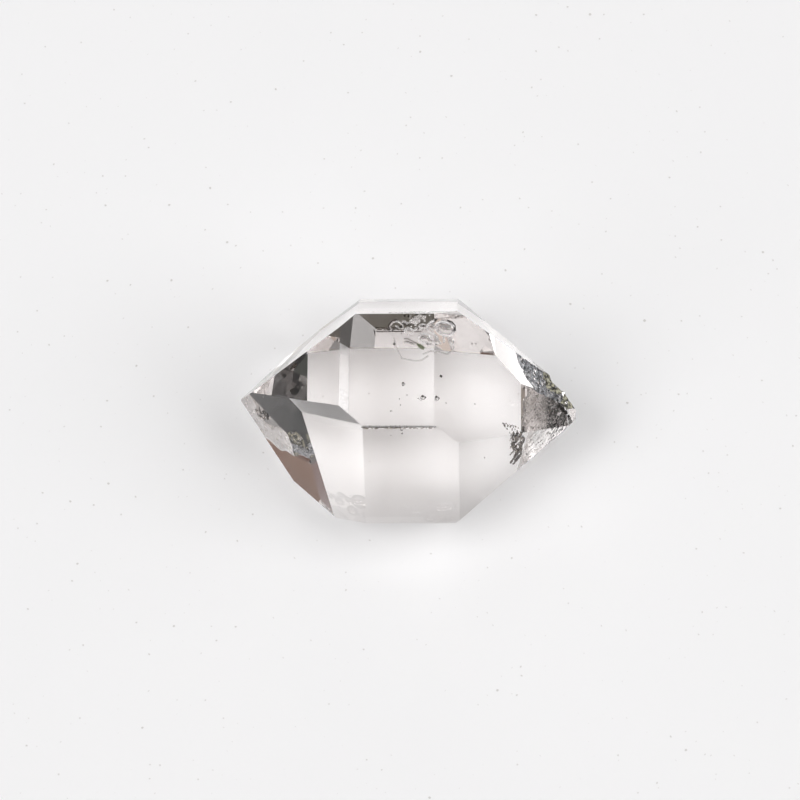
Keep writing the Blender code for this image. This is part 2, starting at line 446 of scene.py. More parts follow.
CLEAR, ETCHED, BROKEN, BRUISED_AND_SHADED, FROSTED, VEILED, BLOOMED, SPECKLED = range(8)
QUARTZ_FINISHES = (
    # name, dark and pale colour of the coat, fineness, part that it covers, roughness of the glass
    clear_quartz(),
    # Etched: dark and pale bluish crumbs, painted reflection of the dark room and the window.
    damaged_quartz("etched_quartz_painted_reflection", (0.02, 0.024, 0.03), (0.65, 0.68, 0.73), 5200.0, 0.80, 0.0),
    # Broken: black and olive crumbs, painted reflection of the dark room and greenish surroundings.
    damaged_quartz("broken_quartz_painted_reflection", (0.015, 0.014, 0.01), (0.52, 0.50, 0.38), 4500.0, 0.72, 0.0),
    # Bruise and worn edge: brown crumbs, which on the worn edge are painted shade.
    damaged_quartz("bruise_and_shaded_edge_quartz", (0.05, 0.042, 0.035), (0.38, 0.34, 0.30), 5500.0, 0.36, 0.0),
    damaged_quartz("frosted_quartz", (0.20, 0.19, 0.18), (0.45, 0.44, 0.42), 5000.0, 0.35, 0.25),
    # Veiled: pale crumbs, painted reflection of the soft grey that the rippled face mirrors.
    damaged_quartz("veiled_quartz_painted_reflection", (0.12, 0.115, 0.11), (0.60, 0.575, 0.55), 6500.0, 0.22, 0.12),
    # Bloomed: pale crumbs, painted reflection of the soft grey that the rippled face mirrors.
    damaged_quartz("bloomed_quartz_painted_reflection", (0.34, 0.32, 0.30), (0.86, 0.83, 0.80), 3000.0, 0.20, 0.30),
    # Speckled: near-black crumbs, painted shade that darkens the right tip.
    damaged_quartz("speckled_quartz_painted_shade", (0.01, 0.01, 0.009), (0.22, 0.215, 0.21), 7000.0, 0.42, 0.0),
)
print("quartz finishes", [finish.name for finish in QUARTZ_FINISHES])

# %% [markdown]
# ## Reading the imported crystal
#
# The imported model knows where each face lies, so nothing is measured again. We copy its mesh and
# weld the corners that its file format keeps apart.
#
# The details that follow are a few hundredths of a millimetre deep. Blender's Boolean and Remesh
# tools round such sizes away when the unit is a metre, so the crystal is worked on in
# millimetres from its middle, and goes back to the model's metres when it is finished.

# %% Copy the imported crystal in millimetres
TO_MODEL = Matrix.Scale(MM, 4) @ Matrix.Translation(MIDDLE)


def packed_crystal():
    """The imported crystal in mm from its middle."""
    bm = bmesh.new()
    bm.from_mesh(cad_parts["quartz_crystal"].data)
    bm.transform(TO_MODEL.inverted())
    bmesh.ops.remove_doubles(bm, verts=bm.verts[:], dist=1e-4)
    return bm


packed = packed_crystal()
print("packed crystal: faces", len(packed.faces), "corners", len(packed.verts))

# %% [markdown]
# ## Tools for the small work
#
# A Boolean needs objects, while the form is easier to handle as a bmesh. These helpers go from
# one to the other and clear up behind them.

# %% Helpers for modifiers and cuts
def make_object(bm, name, finishes=()):
    """An object in the scene made from a bmesh, which is used up."""
    mesh = bpy.data.meshes.new(name)
    bm.to_mesh(mesh)
    bm.free()
    for finish in finishes:
        mesh.materials.append(finish)
    thing = bpy.data.objects.new(name, mesh)
    bpy.context.scene.collection.objects.link(thing)
    return thing


def drop_object(thing):
    """Remove a helper and its mesh."""
    mesh = thing.data
    bpy.data.objects.remove(thing)
    bpy.data.meshes.remove(mesh)


def shape_with_modifiers(thing):
    """The object's shape after its modifiers, as a bmesh. The object is removed."""
    seen = thing.evaluated_get(bpy.context.evaluated_depsgraph_get())
    bm = bmesh.new()
    bm.from_mesh(seen.to_mesh())
    seen.to_mesh_clear()
    drop_object(thing)
    return bm


def give_finish(bm, finish):
    """Set the finish of every face, as its number in the list of finishes."""
    for face in bm.faces:
        face.material_index = finish


def cut_away(form, cutters):
    """Take the cutters out of the form. Each cut takes the finish of its cutter."""
    target = make_object(form, "crystal_in_work", QUARTZ_FINISHES)
    tools = [make_object(bm, "cutter", QUARTZ_FINISHES) for bm in cutters]
    for tool in tools:
        tool.hide_render = True
        cut = target.modifiers.new("cut", "BOOLEAN")
        cut.operation = "DIFFERENCE"
        cut.solver = "EXACT"
        cut.material_mode = "INDEX"
        cut.object = tool
    form = shape_with_modifiers(target)
    for tool in tools:
        drop_object(tool)
    return form


def crystal_size(form):
    """Lowest and highest corner, in mm from the middle."""
    lows = [min(vert.co[axis] for vert in form.verts) for axis in range(3)]
    highs = [max(vert.co[axis] for vert in form.verts) for axis in range(3)]
    return [round(value, 3) for value in lows], [round(value, 3) for value in highs]


print("packed crystal in mm", crystal_size(packed))

# %% [markdown]
# ## Finding a face again
#
# Quartz always has the same angles: six prism faces 60 degrees apart, and six slanting faces at
# each end whose directions lean 51.8 degrees from the long axis. A direction is therefore enough
# to name a face, and its distance from the middle is that of the crystal's furthest corner in
# that direction.

# %% Name the faces by their directions
QUARTZ_LEAN = math.radians(51.79)
ENDS = ("prism", "left", "right")
ROUND = {"top": 0, "back": 60, "lower_back": 120, "under": 180, "lower_front": 240, "front": 300}


class CrystalFace:
    """One of the eighteen faces, with its own directions and places on it."""

    def __init__(self, form, end, side):
        turn = math.radians(ROUND[side])
        sideways = Vector((0, math.sin(turn), math.cos(turn)))
        lean = {"prism": math.pi / 2, "left": math.pi - QUARTZ_LEAN, "right": QUARTZ_LEAN}[end]
        self.out = math.cos(lean) * Vector((1, 0, 0)) + math.sin(lean) * sideways
        self.distance = max(self.out.dot(vert.co) for vert in form.verts)
        level = Vector((1, 0, 0)).cross(self.out).normalized()
        self.long = level.cross(self.out)

    def point(self, x, y):
        """The point of the face at this X and Y."""
        return Vector((x, y, (self.distance - self.out.x * x - self.out.y * y) / self.out.z))


FACES = {(end, side): CrystalFace(packed, end, side) for end in ENDS for side in ROUND}
print("mm from the middle", {" ".join(name): round(f.distance, 2) for name, f in FACES.items()})

# %% [markdown]
# ## Sawing the crystal
#
# The visible crystal is sawn from a block, one cut for each face, with the distances that we have
# just read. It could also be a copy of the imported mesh, but a fresh cut gives eighteen perfectly
# flat faces, and they have to be perfect, because any bend or spare line would break the picture
# behind them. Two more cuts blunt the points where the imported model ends.

# %% Saw the eighteen faces and the two blunt points
BLOCK = 40.0


def saw(bm, through, out):
    """Cut everything beyond a plane away and close the cut."""
    parts = bm.verts[:] + bm.edges[:] + bm.faces[:]
    cut = bmesh.ops.bisect_plane(
        bm, geom=parts, dist=1e-5, plane_co=through, plane_no=out, clear_outer=True
    )
    rim = [part for part in cut["geom_cut"] if isinstance(part, bmesh.types.BMEdge)]
    if rim:
        bmesh.ops.holes_fill(bm, edges=rim, sides=0)


def sawn_crystal():
    """The eighteen faces and the blunt points."""
    bm = bmesh.new()
    bmesh.ops.create_cube(bm, size=BLOCK)
    for face in FACES.values():
        saw(bm, face.out * face.distance, face.out)
    lows, highs = crystal_size(packed)
    saw(bm, Vector((lows[0], 0, 0)), Vector((-1, 0, 0)))
    saw(bm, Vector((highs[0], 0, 0)), Vector((1, 0, 0)))
    bmesh.ops.recalc_face_normals(bm, faces=bm.faces[:])
    return bm


crystal_form = sawn_crystal()
print("sawn crystal: faces", len(crystal_form.faces), "size", crystal_size(crystal_form))
packed.free()

# %% [markdown]
# ## A cutter with a rough sole
#
# Etched patches, scratches and bruises are all the same thing here: a shallow layer of the face
# is missing, with an uneven floor. One cutter does them all. It is a flat block that lies on the
# face, and its underside is a fine grid that dips into the stone by a depth that we give as a
# formula. Where that depth is below zero the sole hovers over the face and cuts nothing, so the
# outline of a patch comes from the formula too and is never a straight frame.

# %% A block whose sole follows a depth formula
HOVER = 0.05
ROOF = 0.4


def rough_block(face, centre, length, width, step, depth):
    """A cutter on a face: depth(u, v) says in mm how deep it goes at each place."""
    along = face.long
    across = face.out.cross(along)
    columns = max(2, round(length / step))
    rows = max(2, round(width / step))
    bm = bmesh.new()
    sole, roof = [], []
    for column in range(columns + 1):
        for row in range(rows + 1):
            u = (column / columns - 0.5) * length
            v = (row / rows - 0.5) * width
            edge = column in (0, columns) or row in (0, rows)
            deep = -HOVER if edge else max(depth(u, v), -HOVER)
            spot = centre + along * u + across * v
            sole.append(bm.verts.new(spot - face.out * deep))
            if edge:
                roof.append((column, row, bm.verts.new(spot + face.out * ROOF)))
    stride = rows + 1
    for column in range(columns):
        for row in range(rows):
            first = column * stride + row
            corners = (first, first + stride, first + stride + 1, first + 1)
            bm.faces.new([sole[corner] for corner in corners])
    rim = {(column, row): vert for column, row, vert in roof}
    loop = [(column, 0) for column in range(columns)]
    loop += [(columns, row) for row in range(rows)]
    loop += [(column, rows) for column in range(columns, 0, -1)]
    loop += [(0, row) for row in range(rows, 0, -1)]
    for here, following in zip(loop, loop[1:] + loop[:1]):
        low_here = sole[here[0] * stride + here[1]]
        low_following = sole[following[0] * stride + following[1]]
        bm.faces.new((low_here, low_following, rim[following], rim[here]))
    bm.faces.new([rim[spot] for spot in loop])
    bmesh.ops.triangulate(bm, faces=bm.faces[:])
    bmesh.ops.recalc_face_normals(bm, faces=bm.faces[:])
    return bm


def wavy(u, v, size, seed, stretch=1.0):
    """Smooth noise from about -1 to 1, with bumps of the given size in mm."""
    return noise.noise(Vector((u / size / stretch, v / size, seed))) * 1.6


def fade(value, low, high):
    """0 below low, 1 above high and a smooth rise between."""
    part = min(max((value - low) / (high - low), 0.0), 1.0)
    return part * part * (3 - 2 * part)


# %% [markdown]
# ## The etched back of the right end
#
# The face under the back of the right end isn't smooth. Something touched the crystal while it
# grew there, and left it frosted with tiny steps. We look at it from inside, where it works as a
# mirror, and each step throws a speck of the window or of the dark room towards us. The slopes
# matter and the depth doesn't: about thirty degrees, on bumps of a fifth of a millimetre.

# %% Etch the right end's lower back face
ETCH_CENTRE = (8.35, 2.8)
ETCH_LENGTH = 6.4
ETCH_WIDTH = 5.6
ETCH_STEP = 0.05


def etch_depth(u, v):
    """Fine steps all over, which fade out towards an uneven rim."""
    reach = math.hypot(u / 2.8, v / 2.6) + 0.12 * wavy(u, v, 0.9, 3.0)
    strength = 1.0 - fade(reach, 0.78, 1.0)
    steps = wavy(u, v, 0.22, 7.0, 1.4) + 0.6 * wavy(u, v, 0.12, 11.0)
    return strength * (0.060 + 0.050 * steps) - 0.010


etched_face = FACES["right", "lower_back"]
etch_block = rough_block(
    etched_face, etched_face.point(*ETCH_CENTRE), ETCH_LENGTH, ETCH_WIDTH, ETCH_STEP, etch_depth
)
print("etching cutter faces", len(etch_block.faces))

# %% [markdown]
# ## A veil under the right end and a bloom under the left one
#
# The face on which the right end leans down has fine ripples too, far weaker than the etching. Seen
# from above they soften what this face mirrors into a mottled grey. Under the left point there is
# a dull bloom that runs a little way along the front, like breath on a window. Both are too
# shallow to feel, and only the finish of the cut's floor and its small slopes tell of them. That
# finish's pale crumbs are painted reflection of the soft grey that the rippled faces mirror.
# Towards the right tip the veil's floor is speckled with near-black crumbs: painted shade that
# darkens the tip.

# %% Ripple the two ends from below
VEIL_CENTRE = (8.45, 1.0)
BLOOM_CENTRE = (-8.3, 0.8)
VEIL_SIZE = (6.4, 4.2)
BLOOM_SIZE = (6.2, 4.6)
VEIL_STEP = 0.07
SPECKLES_START = 8.55


def veil_depth(u, v):
    """Shallow ripples in a squarish patch."""
    reach = ((abs(u) / 3.2) ** 4 + (abs(v) / 2.1) ** 4) ** 0.25 + 0.12 * wavy(u, v, 0.8, 17.0)
    strength = 1.0 - fade(reach, 0.85, 1.0)
    return strength * (0.030 + 0.003 * wavy(u, v, 0.50, 19.0, 1.8)) - 0.008


def bloom_depth(u, v):
    """Shallow ripples at the point, where u is high, and along the front, where v is low."""
    point = fade(u + 0.30 * wavy(u, v, 0.6, 21.0), 0.75, 1.15)
    front = 0.45 * fade(-u, 0.8, 2.2) - v + 0.20 * wavy(u, v, 0.7, 23.0, 3.0)
    streak = fade(front, 0.0, 0.35) * fade(-front, -2.2, -1.9) * fade(u, -3.0, -2.6)
    return max(point, streak) * (0.030 + 0.004 * wavy(u, v, 0.60, 25.0, 1.6)) - 0.008


veiled_face = FACES["right", "under"]
veil_block = rough_block(
    veiled_face, veiled_face.point(*VEIL_CENTRE), *VEIL_SIZE, VEIL_STEP, veil_depth
)
bloomed_face = FACES["left", "under"]
bloom_block = rough_block(
    bloomed_face, bloomed_face.point(*BLOOM_CENTRE), *BLOOM_SIZE, VEIL_STEP, bloom_depth
)
print("veil and bloom cutter faces", len(veil_block.faces), len(bloom_block.faces))

# %% [markdown]
# ## The broken tip
#
# The right point has lost a few flakes. Quartz breaks like glass, in hollow shells with fine
# ripples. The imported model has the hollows, and here each gets a slightly larger ball with
# ripples on it, so that the break glitters between black and white.

# %% Ripple the broken tip
CHIPS = {
    # name: centre, radius, and how high the ripples are
    "large": ((10.95, 2.35, -1.30), 1.66, 0.070),
    "middle": ((11.55, 0.95, -2.10), 1.12, 0.070),
    "small": ((11.80, -0.75, -3.45), 0.66, 0.020),
    "upper": ((10.55, 1.30, -1.10), 0.60, 0.060),
    "edge": ((11.05, 0.35, -1.95), 0.46, 0.050),
}


def rippled_ball(centre, radius, ripple, seed):
    """A ball with shell-like ripples and small breaks."""
    bm = bmesh.new()
    bmesh.ops.create_icosphere(bm, subdivisions=6, radius=1.0)
    for vert in bm.verts:
        way = vert.co.normalized()
        swing = math.sin(radius * way.angle(Vector((0.3, 0.9, 0.3))) * 22.0)
        broken = noise.noise(way * radius * 3.5 + Vector((seed, 0, 0)))
        splinter = abs(noise.noise(way * radius * 7.0 + Vector((0, seed, 0))))
        swell = 0.2 * swing + 1.5 * broken + 0.9 * splinter
        vert.co = Vector(centre) + way * (radius + ripple * swell)
    return bm


chip_balls = [
    rippled_ball(centre, radius, ripple, number * 3.7)
    for number, (centre, radius, ripple) in enumerate(CHIPS.values())
]
print("chips rippled", len(chip_balls))

# %% [markdown]
# ## The bruise and the worn edge
#
# A knock on the edge between the two right front faces left a crushed strip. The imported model
# has its larger notches, and here the floor between them is broken up. The upper edge of the
# front prism face is worn as well, in a thin line with a few gaps.

# %% Crush the bruise and wear the edge
BRUISE_CENTRE = (7.62, -2.50)
BRUISE_SIZE = (1.7, 4.4)
BRUISE_STEP = 0.055
EDGE_CENTRE = (0.05, -3.33)
EDGE_SIZE = (5.2, 0.4)
EDGE_STEP = 0.04


def bruise_depth(u, v):
    """Slanting notches, with small breaks between them at the upper end."""
    reach = math.hypot(u / 0.60, v / 1.45) + 0.2 * wavy(u, v, 0.5, 1.0)
    strength = 1.0 - fade(reach, 0.65, 1.0)
    slant = (u * 0.80 - v * 0.60) + 0.05 * wavy(u, v, 0.4, 2.0)
    teeth = abs((slant / 0.34) % 1.0 - 0.5) * 2.0
    breaks = wavy(u, v, 0.24, 6.3) + 0.6 * wavy(u, v, 0.12, 12.7)
    crushed = fade(v, -0.6, 0.6)
    deep = crushed * (0.12 + 0.07 * breaks) + (1 - crushed) * (0.20 * teeth - 0.04)
    return strength * (deep + 0.03) - 0.03


def edge_depth(u, v):
    """A narrow worn line with gaps."""
    gaps = 0.55 * wavy(u, 0, 0.45, 2.0) + 0.25 * wavy(u, v, 0.15, 4.0)
    line = max(0.0, 1.0 - abs(v - 0.03 * wavy(u, 0, 0.6, 8.0)) / 0.08)
    ends = 1.0 - fade(abs(u), 2.1, 2.5)
    return line * ends * (0.07 + 0.05 * gaps) - 0.02


bruised_face = FACES["right", "front"]
bruise_block = rough_block(
    bruised_face, bruised_face.point(*BRUISE_CENTRE), *BRUISE_SIZE, BRUISE_STEP, bruise_depth
)
worn_face = FACES["prism", "front"]
worn_block = rough_block(
    worn_face, worn_face.point(*EDGE_CENTRE), *EDGE_SIZE, EDGE_STEP, edge_depth
)
# The floors' crumbs are painted light: reflection on the etched patch, the veil, the bloom and the
# break.
give_finish(etch_block, ETCHED)
give_finish(veil_block, VEILED)
# The veil's floor near the right tip gets dark specks: painted shade.
for face in veil_block.faces:
    spot = face.calc_center_median()
    if spot.x > SPECKLES_START + 0.25 * wavy(spot.y, spot.z, 0.5, 27.0):
        face.material_index = SPECKLED
give_finish(bloom_block, BLOOMED)
# The bruise's floor gets brown crumbs; on the worn edge the same crumbs are painted shade.
for block in (bruise_block, worn_block):
    give_finish(block, BRUISED_AND_SHADED)
for ball in chip_balls:
    give_finish(ball, BROKEN)
shallow = [etch_block, veil_block, bloom_block, bruise_block, worn_block]
crystal_form = cut_away(crystal_form, shallow + chip_balls)
print("crystal faces", len(crystal_form.faces), "size", crystal_size(crystal_form))

# %% [markdown]
# ## Dull points
#
# The eighteen faces are mirror smooth, but the two blunt points are not. They are easily found:
# they are the clear faces that look in none of the eighteen directions. The left one is frosted,
# and the right one belongs to the break, so it gets the broken finish.

# %% Dull the faces that are none of the eighteen
SAME_WAY = 0.9998
TO_THE_RIGHT = 0.9


def dull_points(form):
    """Give a dull finish to every small face that isn't a crystal face."""
    ways = [face.out for face in FACES.values()]
    dulled = 0
    for face in form.faces:
        turned = max(way.dot(face.normal) for way in ways) < SAME_WAY
        if face.material_index == CLEAR and turned:
            face.material_index = BROKEN if face.normal.x > TO_THE_RIGHT else FROSTED
            dulled += 1
    return dulled


print("dull faces at the points", dull_points(crystal_form))

# %% [markdown]
# ## Bubbles and channels inside
#
# As it grew, the crystal closed over a nest of small channels at its back, filled with gas. What
# we see is their walls: light that meets one at a slant can't get through and is thrown back, so
# each channel has dark and white outlines and a clear middle. They have to be real hollows. Each
# is a wall whose outer side faces the gas, which means that its faces point into the hollow, and
# it belongs to the same mesh as the crystal.
#
# A chain of overlapping balls along a bent path makes a good channel once Remesh has melted
# the balls into one skin and Smooth has taken the grain off it.

# %% Beads, chains and plates
def add_ball(bm, centre, radii, detail=2, turn=None):
    """Add one ball, or an egg or lens shape if its radii differ."""
    if isinstance(radii, (int, float)):
        radii = (radii, radii, radii)
    shape = Matrix.Translation(centre) @ (turn or Matrix.Identity(4)) @ Matrix.Diagonal((*radii, 1))
    bmesh.ops.create_icosphere(bm, subdivisions=detail, radius=1.0, matrix=shape)


def add_chain(bm, path, radius):
    """Add overlapping balls along a bent path."""
    path = [Vector(spot) for spot in path]
    for start, end in zip(path, path[1:]):
        count = max(2, round((end - start).length / (radius * 0.5)))
        for number in range(count + 1):
            add_ball(bm, start.lerp(end, number / count), radius)


def melt(bm, grain, passes):
    """One smooth skin around everything in the bmesh."""
    thing = make_object(bm, "hollows_in_work")
    remesh = thing.modifiers.new("melt", "REMESH")
    remesh.mode = "VOXEL"
    remesh.voxel_size = grain
    smooth = thing.modifiers.new("smooth", "SMOOTH")
    smooth.iterations = passes
    return shape_with_modifiers(thing)


# %% [markdown]
# The nest has five kinds of hollow: a curl at its left, a string of pockets, two fine threads,
# two thin angular films that frame it below, and round blisters, the largest of which looks like
# a glass ring. A loose foam of tiny bubbles fills the middle. The films are so thin that only
# their bent rims show, so the rims are all that is made of them.

# %% Lay out the nest of hollows
CURL = (
    (-0.55, 3.87, 1.74),
    (-0.62, 4.12, 1.84),
    (-0.42, 4.37, 1.94),
    (-0.10, 4.42, 2.03),
    (0.17, 4.21, 2.03),
    (0.23, 3.96, 1.94),
    (-0.03, 3.98, 1.84),
    (-0.23, 4.14, 1.74),
)
POCKETS = (
    (0.30, 4.33, 2.13),
    (0.56, 4.17, 2.23),
    (0.82, 4.30, 2.23),
    (1.02, 4.56, 2.32),
    (1.34, 4.70, 2.32),
)
THREADS = (
    ((0.36, 3.05, 2.42), (0.62, 2.98, 2.42), (0.89, 2.81, 2.52), (1.15, 2.65, 2.62)),
    ((0.36, 2.82, 2.42), (0.68, 2.76, 2.48), (1.00, 2.60, 2.58)),
)
FILM = (
    (-0.31, 3.13, 2.50),
    (-0.21, 2.58, 2.50),
    (-0.01, 2.10, 2.50),
    (0.18, 1.72, 2.50),
    (0.60, 1.62, 2.50),
    (1.11, 1.52, 2.50),
    (1.49, 1.59, 2.50),
    (1.87, 1.86, 2.50),
)
SECOND_FILM = (
    (1.57, 2.07, 2.25),
    (2.08, 2.28, 2.25),
    (2.43, 2.21, 2.25),
    (2.82, 2.17, 2.25),
    (3.17, 2.37, 2.25),
    (3.37, 2.70, 2.25),
    (3.21, 3.03, 2.25),
)
BLISTERS = (
    # centre, radii and how far each is tipped about X and Y, in degrees
    ((2.54, 4.03, 1.85), (0.80, 0.56, 0.55), (10.0, 6.0)),
    ((0.64, 3.73, 2.00), (0.34, 0.26, 0.20), (-10.0, 12.0)),
    ((1.53, 4.06, 1.95), (0.30, 0.20, 0.22), (0.0, 0.0)),
    ((1.66, 3.19, 2.10), (0.46, 0.40, 0.40), (8.0, 0.0)),
    ((1.02, 4.42, 2.00), (0.36, 0.20, 0.22), (6.0, -8.0)),
    ((3.15, 3.08, 2.20), (0.22, 0.30, 0.20), (14.0, -10.0)),
    ((2.04, 2.94, 2.25), (0.26, 0.18, 0.16), (0.0, 10.0)),
)
FOAM = (
    # centre, spread and how many bubbles
    ((0.96, 3.88, 2.25), (0.55, 0.30, 0.12), 16),
    ((1.21, 4.53, 2.40), (0.50, 0.16, 0.10), 14),
    ((2.44, 3.10, 2.30), (0.50, 0.26, 0.12), 12),
)

CURL_RADIUS = 0.075
POCKET_RADIUS = 0.085
POCKET_SWELL = (0.15, 0.11, 0.09)
THREAD_RADIUS = 0.042
FILM_RADIUS = 0.048

chance = random.Random(41)
nest = bmesh.new()
add_chain(nest, CURL, CURL_RADIUS)
add_chain(nest, POCKETS, POCKET_RADIUS)
for spot in POCKETS:
    add_ball(nest, spot, POCKET_SWELL)
for centre, radii, tips in BLISTERS:
    turn = Matrix.Rotation(math.radians(tips[0]), 4, "X") @ Matrix.Rotation(
        math.radians(tips[1]), 4, "Y"
    )
    add_ball(nest, centre, radii, 4, turn)
for middle, spread, count in FOAM:
    for _ in range(count):
        spot = [mid + reach * chance.gauss(0, 0.6) for mid, reach in zip(middle, spread)]
        add_ball(nest, spot, chance.uniform(0.035, 0.105))
nest = melt(nest, 0.026, 5)

fine = bmesh.new()
for thread in THREADS:
    add_chain(fine, thread, THREAD_RADIUS)
add_chain(fine, FILM, FILM_RADIUS)
add_chain(fine, SECOND_FILM, FILM_RADIUS)
fine = melt(fine, 0.016, 4)
print("nest faces", len(nest.faces), "fine channel faces", len(fine.faces))

# %% [markdown]
# Elsewhere the stone holds a few single bubbles. They are seen twice, once directly and once
# mirrored in a face below, which makes them look like pairs.

# %% Add the single bubbles
BUBBLES = (
    # centre and radius
    ((1.54, -0.52, 0.49), 0.15),
    ((1.41, -0.58, 0.30), 0.09),
    ((0.27, 0.46, 0.36), 0.10),
    ((-0.48, -1.77, 1.92), 0.06),
    ((0.51, -0.33, 0.46), 0.05),
    ((2.51, -1.01, 1.40), 0.05),
    ((4.62, -0.76, 0.89), 0.05),
)
singles = bmesh.new()
for centre, radius in BUBBLES:
    add_ball(singles, centre, (radius * 1.15, radius, radius * 0.9), 4)


def close_in(form, hollows):
    """Put hollow walls inside the crystal, with their faces pointing into the gas."""
    for hollow in hollows:
        bmesh.ops.recalc_face_normals(hollow, faces=hollow.faces[:])
        bmesh.ops.reverse_faces(hollow, faces=hollow.faces[:])
        for face in hollow.faces:
            face.smooth = True
        mesh = bpy.data.meshes.new("hollow")
        hollow.to_mesh(mesh)
        hollow.free()
        form.from_mesh(mesh)
        bpy.data.meshes.remove(mesh)
    return form


crystal_form = close_in(crystal_form, [nest, fine, singles])
crystal_form.transform(TO_MODEL)
print("crystal with its hollows: faces", len(crystal_form.faces))

# %% [markdown]
# ## The finished crystal
#
# The form now becomes the visible piece, with its eight finishes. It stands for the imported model's
# node, which stays in the physics model but isn't shown.

# %% Make the visible crystal
crystal = make_object(crystal_form, "clear_crystal", QUARTZ_FINISHES)
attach(crystal, "root")
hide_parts("quartz_crystal")
print("crystal faces", len(crystal.data.polygons))

# %% [markdown]
# ## Grains of dark mineral, and painted shade in the nest
#
# Herkimer quartz is known for black grains of old carbon closed into the clear stone. Seen at
# this size they are dots with uneven sides. One piece holds them all, together with thin dark
# skins on the walls of the nest's hollows, which are painted shade: they darken the dark outlines
# that the walls throw. Four larger grains at the broken tip are painted shade as well, which makes
# the break black. A second piece is a sliver of grey-green mineral in the nest of hollows. Their
# finish is dull, because what touches the grain is quartz and not air.

# %% Add the dark grains and the painted shade on the hollows
GRAINS = (
    # centre and radius
    ((1.87, 2.85, 1.94), 0.060),
    ((2.46, 0.52, 2.59), 0.085),
    ((-0.29, 2.69, 2.62), 0.075),
    ((0.62, 4.61, 2.60), 0.070),
    ((0.92, 4.54, 2.60), 0.060),
    ((1.58, 4.02, 2.18), 0.065),
    ((1.83, 2.70, 2.55), 0.050),
    ((2.02, 2.71, 2.45), 0.040),
    ((0.11, 4.00, 2.08), 0.090),
    ((0.36, 4.66, 2.58), 0.070),
    ((1.52, -0.44, 0.60), 0.085),
    ((1.70, -0.50, 0.52), 0.050),
    ((1.22, -0.56, 0.42), 0.035),
    ((0.25, 0.52, 0.44), 0.060),
    ((0.24, 0.36, 0.44), 0.050),
    ((4.10, 3.96, -1.17), 0.045),
    ((3.78, 3.93, -1.17), 0.048),
    ((0.08, -0.93, 0.11), 0.035),
    ((0.01, -0.40, -0.36), 0.030),
    ((5.46, -3.94, -0.11), 0.045),
    ((0.26, -3.35, 3.43), 0.045),
    ((0.26, -3.48, 3.22), 0.050),
    ((-0.45, -3.56, 3.08), 0.030),
    # The last four, at the broken tip, are painted shade that makes the break black.
    ((10.30, 0.55, -2.82), 0.130),
    ((10.48, 0.38, -2.95), 0.150),
    ((10.70, 0.22, -3.10), 0.130),
    ((10.88, 0.02, -3.24), 0.100),
)
SHADE_SKINS = (
    # bent path and thickness of a dark skin on a hollow's wall, painted shade that darkens its
    # outline
    (((-0.60, 3.84, 1.82), (-0.70, 4.10, 1.90), (-0.50, 4.42, 2.02), (-0.14, 4.50, 2.12)), 0.045),
    (((0.26, 4.24, 2.16), (0.52, 4.06, 2.26), (0.76, 4.18, 2.30)), 0.045),
    (((-0.04, 3.88, 1.98), (-0.24, 4.00, 1.90), (-0.46, 3.76, 1.90)), 0.046),
    (((2.79, 4.56, 2.05), (3.12, 4.50, 2.00), (3.35, 4.27, 1.95), (3.37, 3.96, 1.95)), 0.055),
    (((1.36, 4.05, 2.00), (1.52, 4.03, 2.02), (1.68, 4.06, 2.02)), 0.050),
    (((0.36, 3.13, 2.48), (0.62, 3.07, 2.48), (0.91, 2.89, 2.58), (1.15, 2.73, 2.68)), 0.028),
    (((0.40, 2.90, 2.48), (0.68, 2.84, 2.54), (1.00, 2.68, 2.64)), 0.028),
    (((1.04, 4.72, 2.58), (1.36, 4.80, 2.58), (1.72, 4.76, 2.56)), 0.034),
)
SLIVER = (
    (1.15, 2.72, 2.76),
    (1.44, 2.60, 2.78),
    (1.69, 2.40, 2.78),
    (1.61, 2.24, 2.76),
    (1.40, 2.30, 2.74),
    (1.20, 2.50, 2.74),
)


def add_lump(bm, centre, radius, seed, flat=1.0):
    """Add one lump with broken sides, flattened along Z if asked."""
    first = len(bm.verts)
    add_ball(bm, centre, radius, 3)
    bm.verts.ensure_lookup_table()
    for vert in bm.verts[first:]:
        way = (vert.co - Vector(centre)).normalized()
        lump = noise.noise(way * 1.7 + Vector((seed, 0, 0)))
        step = way * radius * (1 + 0.55 * lump)
        vert.co = Vector(centre) + Vector((step.x, step.y, step.z * flat))


def grains_and_shade_skins_form():
    """The separate grains, and the dark skin of painted shade on some hollows, in one mesh."""
    bm = bmesh.new()
    for number, (centre, radius) in enumerate(GRAINS):
        add_lump(bm, centre, radius, number * 5.1)
    skin = bmesh.new()
    for path, thickness in SHADE_SKINS:
        add_chain(skin, path, thickness)
    skin = melt(skin, 0.014, 3)
    mesh = bpy.data.meshes.new("skin")
    skin.to_mesh(mesh)
    skin.free()
    bm.from_mesh(mesh)
    bpy.data.meshes.remove(mesh)
    return bm


def sliver_form():
    """A thin angular plate."""
    bm = bmesh.new()
    plate = bm.faces.new([bm.verts.new(spot) for spot in SLIVER])
    plate.normal_update()
    bmesh.ops.solidify(bm, geom=[plate], thickness=0.05)
    bmesh.ops.triangulate(bm, faces=bm.faces[:])
    bmesh.ops.recalc_face_normals(bm, faces=bm.faces[:])
    return bm


